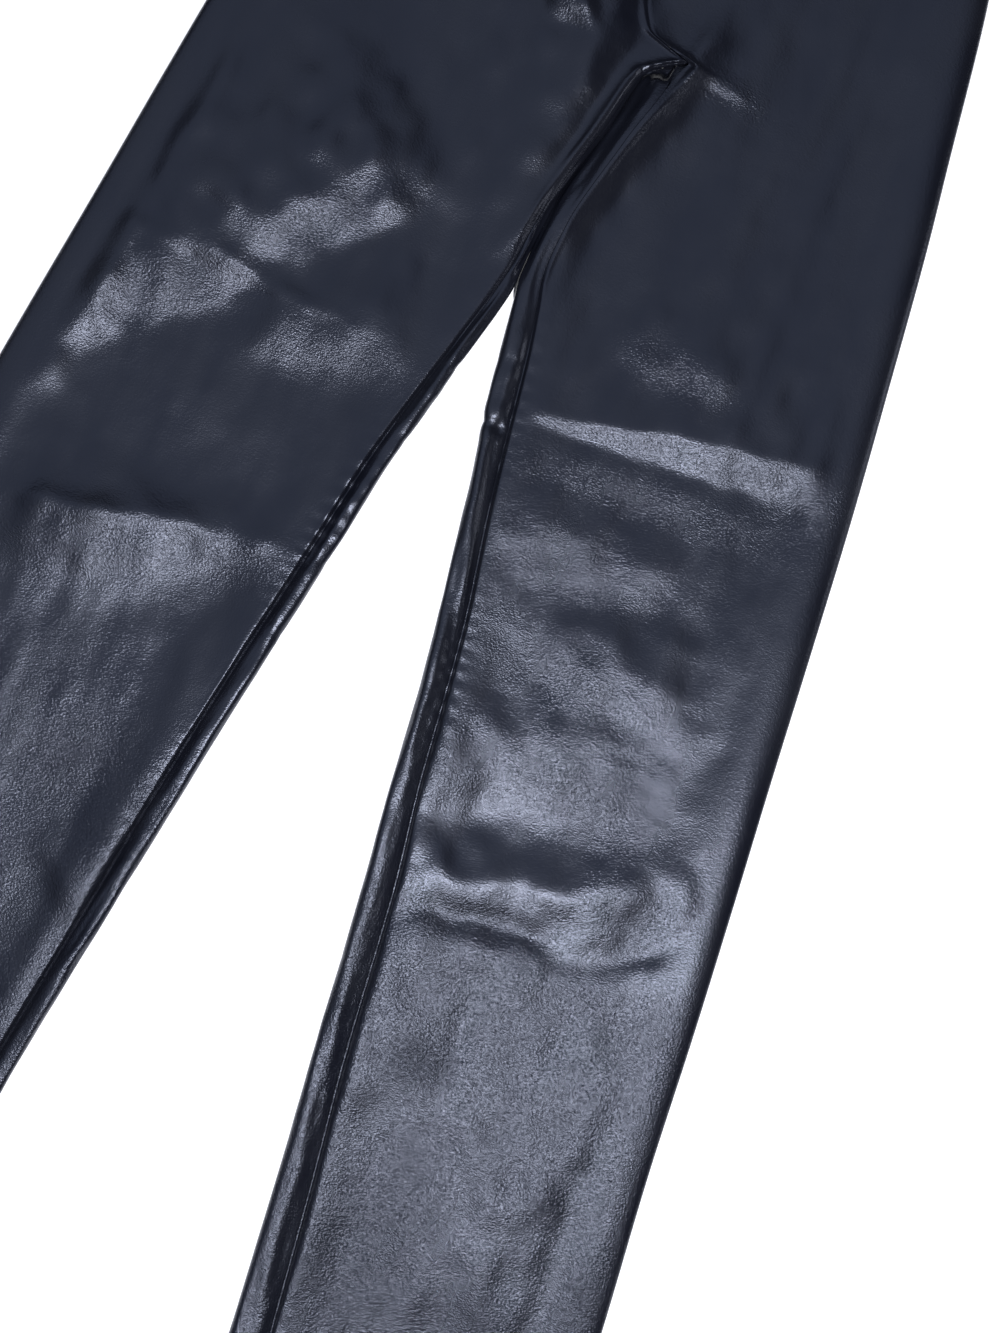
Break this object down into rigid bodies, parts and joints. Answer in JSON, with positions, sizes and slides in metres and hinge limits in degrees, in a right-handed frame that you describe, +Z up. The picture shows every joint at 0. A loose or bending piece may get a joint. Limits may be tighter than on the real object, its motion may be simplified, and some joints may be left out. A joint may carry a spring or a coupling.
{
  "type": "faux leather trousers laid flat",
  "caption": "Faux leather trousers laid flat with the front up: straight legs, plain waistband with a lapped button tab, covered fly, plain turned-up hems.",
  "frame": {"origin": "on the table, under the centre of the trousers' bounding box", "axes": "+Y along the trousers from the hems to the waist, +Z up off the table through the front, +X to the wearer's left"},
  "size_m": [0.6204, 1.0726, 0.0122],
  "materials": {
    "faux_leather": "blue-black coated fabric with a fine pebbled grain and a soft gloss",
    "button_resin": "black polished resin"
  },
  "bodies": {
    "root": {"front_right": "faux_leather", "front_left": "faux_leather", "back_right": "faux_leather", "back_left": "faux_leather", "waistband_front_right": "faux_leather", "waistband_front_left": "faux_leather", "waistband_back": "faux_leather", "fly_flap": "faux_leather", "button": "button_resin"}
  },
  "joints": []
}
